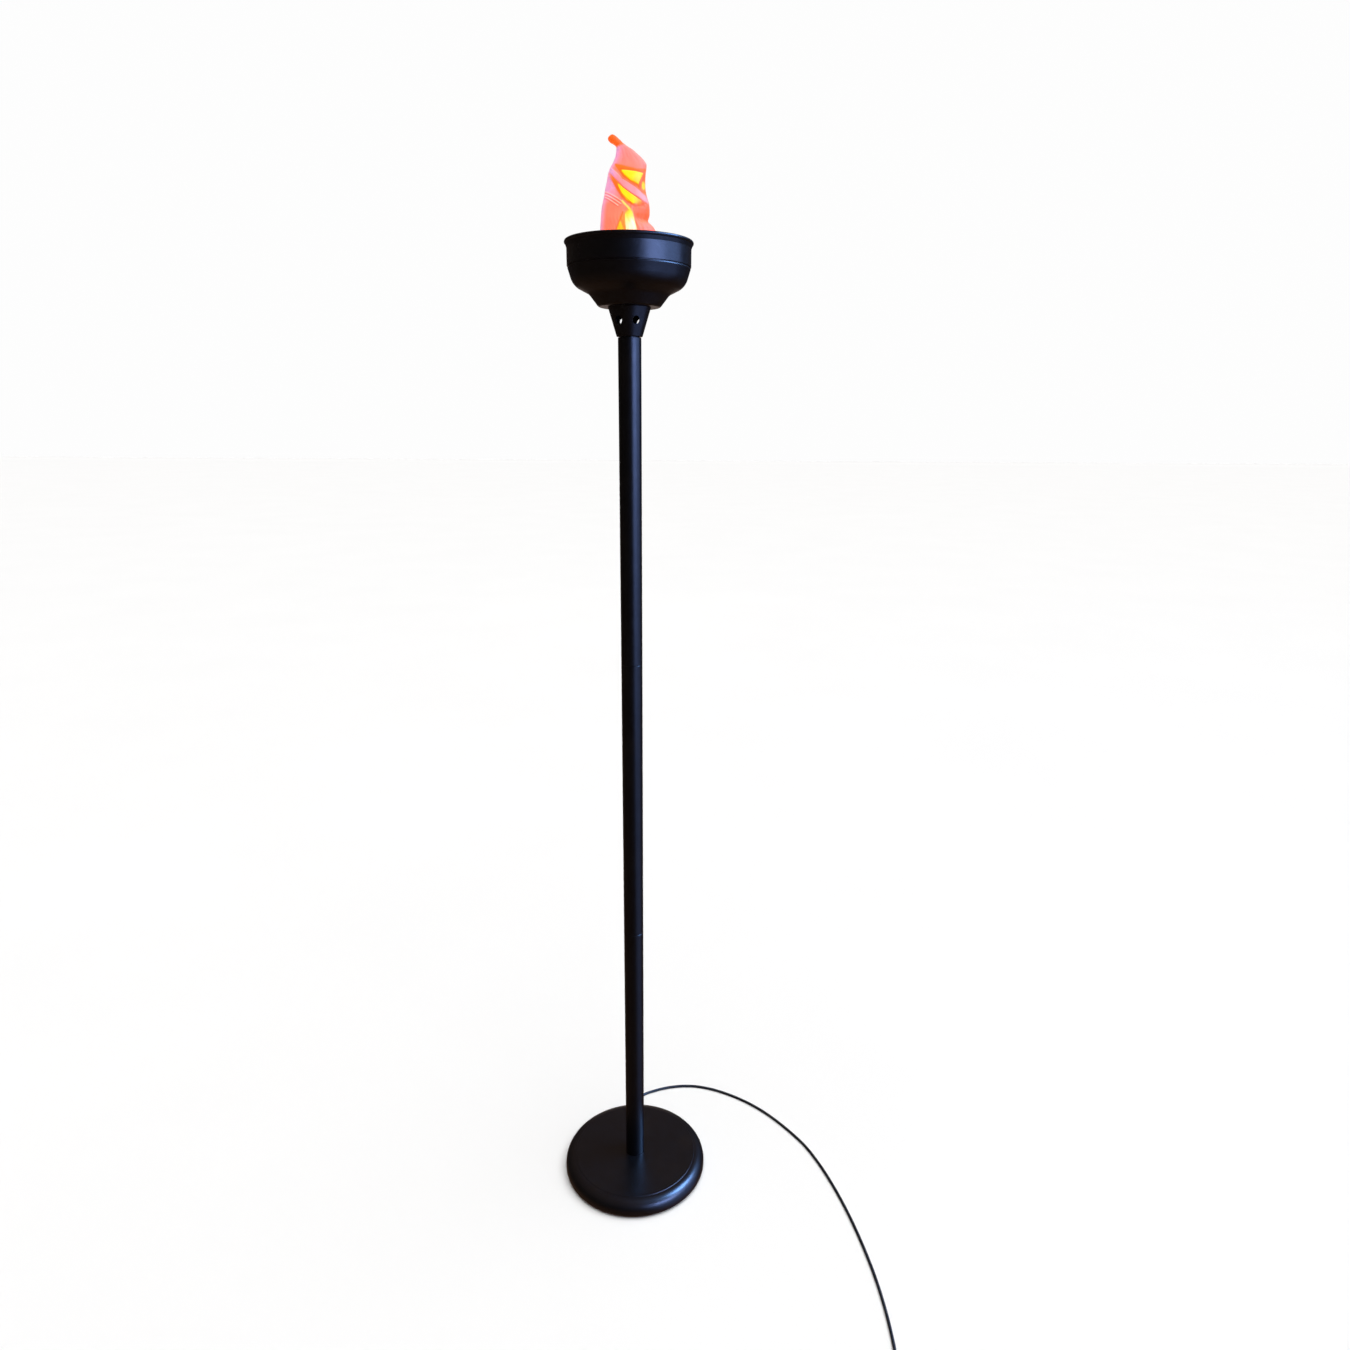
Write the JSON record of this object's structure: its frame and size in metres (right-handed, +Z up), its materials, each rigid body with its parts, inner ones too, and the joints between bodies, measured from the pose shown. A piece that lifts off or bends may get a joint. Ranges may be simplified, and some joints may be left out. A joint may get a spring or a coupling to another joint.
{
  "type": "silk flame floor torch",
  "caption": "Floor-standing torch lamp: weighted round base, screwed three-section pole, vented neck and bowl with a fan-blown silk flame and a mains lead.",
  "frame": {"origin": "on the floor, at the centre of the round base", "axes": "+Z up along the pole, -Y towards the front, the mains lead leaves at the back (+Y)"},
  "size_m": [0.6823, 0.7398, 1.7833],
  "materials": {
    "black_paint": "satin black powder coat",
    "cast_iron": "rough cast, unpainted",
    "pad_rubber": "matt foam rubber",
    "zinc_steel": "zinc plated, bright",
    "brass": "turned brass",
    "aluminium": "mill finish sheet",
    "black_plastic": "moulded, fine texture",
    "white_plastic": "moulded",
    "circuit_board": "green solder mask",
    "copper": "enamelled copper wire",
    "magnet": "bonded ferrite",
    "emitter": "amber phosphor",
    "clear_lens": "clear moulded lens",
    "silk": "thin translucent salmon, orange and yellow flame silk",
    "lead_rubber": "matt black flexible sheath",
    "wire_red": "wire insulation",
    "nickel": "nickel plated pins"
  },
  "bodies": {
    "torch": {"base_pad": "pad_rubber", "base_weight": "cast_iron", "base_shell": "black_paint", "foot_washer": "zinc_steel", "foot_nut": "zinc_steel", "foot_rod": "zinc_steel", "foot_bush": "zinc_steel", "lower_tube": "black_paint", "middle_tube": "black_paint", "upper_tube": "black_paint", "lower_joint_plug": "zinc_steel", "lower_joint_socket": "zinc_steel", "upper_joint_plug": "zinc_steel", "upper_joint_socket": "zinc_steel", "neck_bush": "zinc_steel", "neck_washer": "black_paint", "neck_rod": "zinc_steel", "neck_cone": "black_paint", "bowl_shell": "black_paint", "bowl_washer": "zinc_steel", "bowl_nut": "zinc_steel", "bowl_band": "black_paint", "rim_wire": "zinc_steel", "band_rivets": "black_paint", "right_bracket": "zinc_steel", "left_bracket": "zinc_steel", "lamp_plate": "aluminium", "plate_screws": "zinc_steel", "fan_frame": "black_plastic", "fan_bearing": "brass", "fan_stator": "zinc_steel", "fan_windings": "copper", "fan_board": "circuit_board", "finger_guard": "nickel", "fan_screws": "zinc_steel", "small_nuts": "zinc_steel", "light_board": "circuit_board", "lights": "emitter", "light_lenses": "clear_lens", "silk_ring": "white_plastic", "silk_clamp": "white_plastic", "silk_flame": "silk", "driver_case": "white_plastic", "driver_lid": "white_plastic", "driver_board": "circuit_board", "terminal_block": "white_plastic", "terminal_screws": "brass", "inner_lead": "lead_rubber", "link_wires": "wire_red", "lamp_wires": "wire_red", "strain_relief": "lead_rubber", "mains_lead": "lead_rubber", "lead_coil": "lead_rubber", "coil_tie": "black_plastic", "plug_lead": "lead_rubber", "plug_body": "black_plastic", "plug_pins": "nickel"},
    "rotor": {"fan_rotor": "black_plastic", "fan_shaft": "zinc_steel", "fan_magnet": "magnet"}
  },
  "joints": [
    {"name": "fan_spin", "type": "hinge", "parent": "torch", "child": "rotor", "pos_m": [0, 0, 1.608], "axis": [0, 0, 1], "continuous": true}
  ]
}
